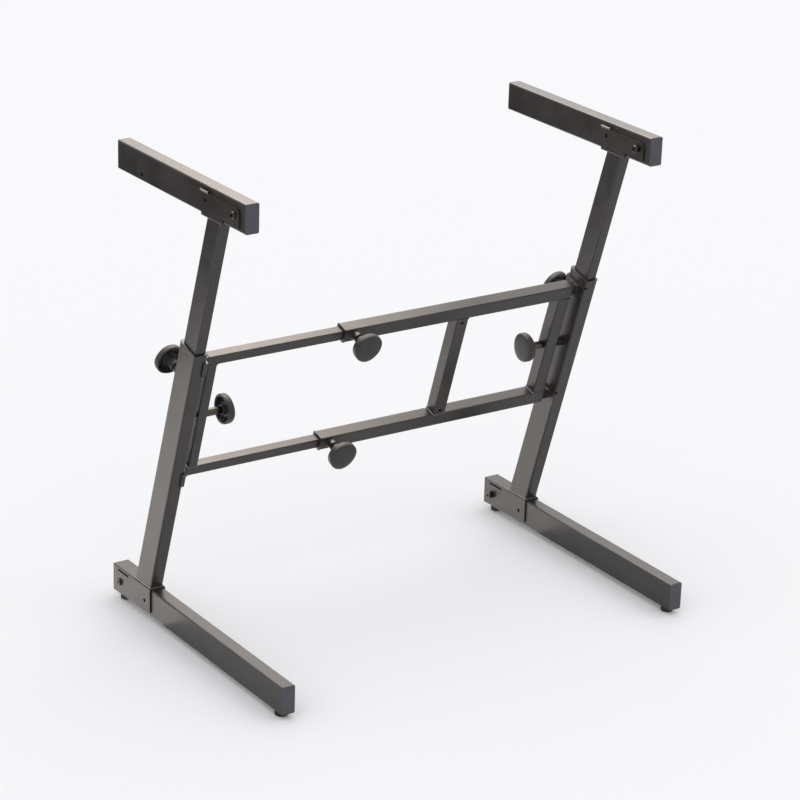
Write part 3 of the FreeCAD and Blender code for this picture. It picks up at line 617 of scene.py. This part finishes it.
# Drawn zinc-plated tube: a paler grey metal, with fine lines along it that draw out the highlight. The
# lines are drawn 1 mm apart so that they show.
drawn_steel = new_finish("drawn zinc-plated steel", Metallic=1.0)
weathered(
    drawn_steel, dark="#45413e", pale="#58534f", cloud_mm=6, smooth=0.26, rough=0.36,
    grain_mm=1.0, grain_deep_mm=0.01, stretch=(0.15, 1, 1),
)
for name, side in SIDES.items():
    node = f"{name}_clamp_sleeve"
    low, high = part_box(node)
    start = on_axis(high.x if side > 0 else low.x, (low, high))
    shell = seated(turned(sleeve_profile, looped=True), start, BACK, UP, RIGHT * -side)
    piece(f"{name}_spacer", [shell], drawn_steel, FRAME_BODY[name], "sleeve_steel", node)


# The floor is a seamless sheet of pale studio paper, rolled out so far that its edges stay out of the
# picture. It is matt, so it shows only the stand's soft shadows.
def sheet(name, corners, height, finish):
    """A flat level sheet at a height in metres."""
    mesh = bpy.data.meshes.new(name)
    mesh.from_pydata([(*corner, height) for corner in corners], [], [(0, 1, 2, 3)])
    mesh.materials.append(finish)
    made = bpy.data.objects.new(name, mesh)
    bpy.context.collection.objects.link(made)
    return made


edge = 20.0
paper = new_finish("matt studio paper", Base_Color=linear("#f6f6f8"), Roughness=1.0, Specular_IOR_Level=0.0)
floor = sheet("floor", rectangle(-edge, edge, -edge, edge), 0.0, paper)


# Three softboxes, each seen only as a gloss on the coat: one overhead that draws the pale tops of the
# rails, one behind that draws the arms' tops, and the pool that they throw on the paper behind the
# stand, which the left sides mirror. A broad weak sun and the white studio give the even light.
def hang(item, back_to):
    """Add a light, unseen itself, with its back to a direction, so that its beam runs the other way."""
    item.rotation_euler = Vector(back_to).to_track_quat("Z", "Y").to_euler()
    item.visible_camera = False
    bpy.context.collection.objects.link(item)


def softbox(name, glow, colour, centre, wide, tall, back_to):
    """A rectangular light of even glow, which only the gloss of a surface picks up."""
    data = bpy.data.lights.new(name, "AREA")
    data.shape = "RECTANGLE"
    data.size, data.size_y = wide, tall
    data.energy = glow * math.pi * wide * tall
    data.color = linear(colour)[:3]
    item = bpy.data.objects.new(name, data)
    item.location = centre
    item.visible_diffuse = False
    hang(item, back_to)


softbox(
    "overhead softbox", glow=7.5, colour="#fff1e4",
    centre=(-0.08, 1.25, 2.5), wide=2.5, tall=2.0, back_to=(0.1, 0.3, 1),
)
softbox(
    "rear softbox", glow=2.0, colour="#fff1e6",
    centre=(1.6, 2.4, 2.35), wide=2.6, tall=1.7, back_to=(0.56, 0.75, 0.35),
)
softbox(
    "pool on the paper", glow=1.1, colour="#fff4ea",
    centre=(-0.6, 0.7, 0.002), wide=2.2, tall=1.15, back_to=(0, 0, -1),
)
sun_data = bpy.data.lights.new("broad weak sun", "SUN")
sun_data.energy = 0.36
sun_data.color = linear("#fff8f0")[:3]
sun_data.angle = math.radians(60)
hang(bpy.data.objects.new("broad weak sun", sun_data), back_to=(0.45, 0.55, 0.75))

world = bpy.data.worlds.new("studio")
world.use_nodes = True
studio = world.node_tree.nodes["Background"]
studio.inputs["Color"].default_value = linear("#fdfeff")
studio.inputs["Strength"].default_value = 0.96
bpy.context.scene.world = world
bpy.context.scene.view_settings.view_transform = "Standard"


# A dark sheet lies on the paper behind the stand and to its left. The camera doesn't see it, it casts no shadow
# and no diffuse light meets it: it shows only in gloss, as a painted dark reflection on the arms' left sides that
# darkens what they mirror, standing in for a studio flag.
reflection_dark_finish = new_finish(
    "dark sheet for painted reflections", Base_Color=linear("#2b2b2b"), Roughness=1.0, Specular_IOR_Level=0.0
)
reflection_sheet = sheet("painted_reflection_sheet", rectangle(-3.2, 0.3, 1.45, 4.0), 0.004, reflection_dark_finish)
reflection_sheet.visible_camera = reflection_sheet.visible_diffuse = reflection_sheet.visible_shadow = False


# The camera stands in front of the stand, to its left and above it, and looks a little down, as the
# photograph's did. Its turn, lens and place were fitted to the stand's tubes in the photograph.
YAW = math.radians(34.229)
PITCH = math.radians(20.975)
ROLL = math.radians(1.808)
camera_data = bpy.data.cameras.new("camera")
camera_data.sensor_width = 36.0
camera_data.lens = 132.92
camera_data.clip_end = 60.0
camera = bpy.data.objects.new("camera", camera_data)
ahead = Vector((math.sin(YAW) * math.cos(PITCH), math.cos(YAW) * math.cos(PITCH), -math.sin(PITCH)))
right = Vector((math.cos(YAW), -math.sin(YAW), 0.0))
above = right.cross(ahead)
across = math.cos(ROLL) * right + math.sin(ROLL) * above
up = -math.sin(ROLL) * right + math.cos(ROLL) * above
stance = Matrix((across, up, -ahead)).transposed().to_4x4()
camera.matrix_world = Matrix.Translation((-2.66427, -3.90392, 2.19571)) @ stance
bpy.context.collection.objects.link(camera)
bpy.context.scene.camera = camera
